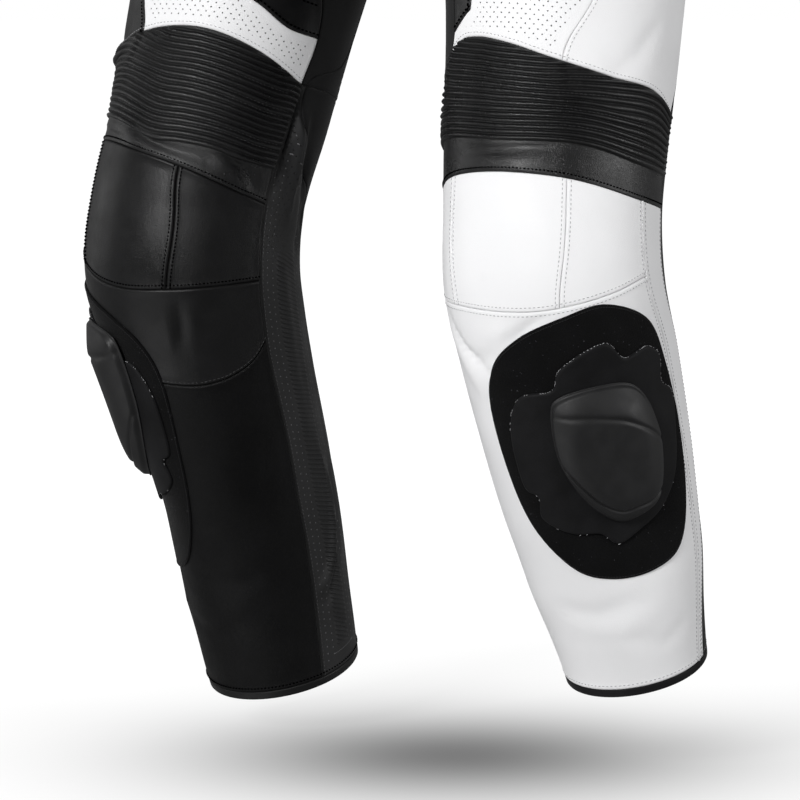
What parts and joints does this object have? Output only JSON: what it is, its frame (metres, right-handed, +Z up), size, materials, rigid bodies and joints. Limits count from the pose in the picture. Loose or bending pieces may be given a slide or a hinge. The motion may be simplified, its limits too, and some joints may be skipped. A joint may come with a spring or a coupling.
{
  "type": "motorcycle race suit",
  "caption": "One-piece leather motorcycle race suit, filled out as worn, with pleated knees, raised knee sliders, a front zip and a hinged pull tab.",
  "frame": {"origin": "middle of the neck opening, at the height of the shoulder line, where the wearer's shoulders carry the suit", "axes": "+Z up, -Y the suit's front, +X the wearer's left"},
  "size_m": [0.9876, 0.3172, 1.4571],
  "materials": {
    "leather_black": "satin grained",
    "leather_white": "satin grained",
    "stretch_black": "matt stretch weave",
    "zip_tape": "woven tape",
    "loop_fabric": "brushed loop pile",
    "slider_cloth": "matt",
    "slider_plastic": "semi-matt moulded",
    "zip_metal": "black lacquer"
  },
  "bodies": {
    "suit": {"calf_back_left": "stretch_black", "calf_back_right": "stretch_black", "calf_medial_left": "leather_black", "calf_medial_right": "leather_black", "collar": "leather_black", "cuff_left": "stretch_black", "cuff_right": "stretch_black", "front_zip": "zip_tape", "hem_binding_left": "leather_black", "hem_binding_right": "leather_black", "hip_front_left": "leather_black", "hip_front_right": "leather_black", "inner_thigh_gusset": "stretch_black", "knee_accordion_left": "leather_black", "knee_accordion_right": "leather_black", "knee_cup_centre_left": "leather_white", "knee_cup_centre_right": "leather_black", "knee_cup_lateral_left": "leather_white", "knee_cup_lateral_right": "leather_black", "knee_cup_medial_left": "leather_white", "knee_cup_medial_right": "leather_black", "seat": "leather_black", "shin_front_left": "leather_white", "shin_front_right": "leather_black", "shin_upper_left": "leather_white", "shin_upper_right": "leather_black", "side_strip_left": "leather_white", "side_strip_right": "leather_black", "sleeve_inner_left": "stretch_black", "sleeve_inner_right": "stretch_black", "sleeve_outer_left": "leather_black", "sleeve_outer_right": "leather_black", "slider_backing_left": "slider_cloth", "slider_backing_right": "slider_cloth", "slider_patch_left": "loop_fabric", "slider_patch_right": "loop_fabric", "slider_puck_left": "slider_plastic", "slider_puck_right": "slider_plastic", "thigh_back_left": "leather_black", "thigh_back_right": "leather_black", "thigh_front_left": "leather_white", "thigh_front_right": "leather_white", "thigh_medial_left": "leather_black", "thigh_medial_right": "leather_black", "thigh_outer_left": "leather_white", "thigh_outer_right": "leather_black", "torso_back": "leather_black", "torso_front_left": "leather_white", "torso_front_right": "leather_white", "zip_slider": "zip_metal"},
    "pull_tab": {"zip_pull_tab": "zip_metal"}
  },
  "joints": [
    {"name": "pull_tab_hinge", "type": "hinge", "parent": "suit", "child": "pull_tab", "pos_m": [0, -0.0839, -0.00558], "axis": [-1, 0, 0], "range_deg": [0, 165]}
  ]
}
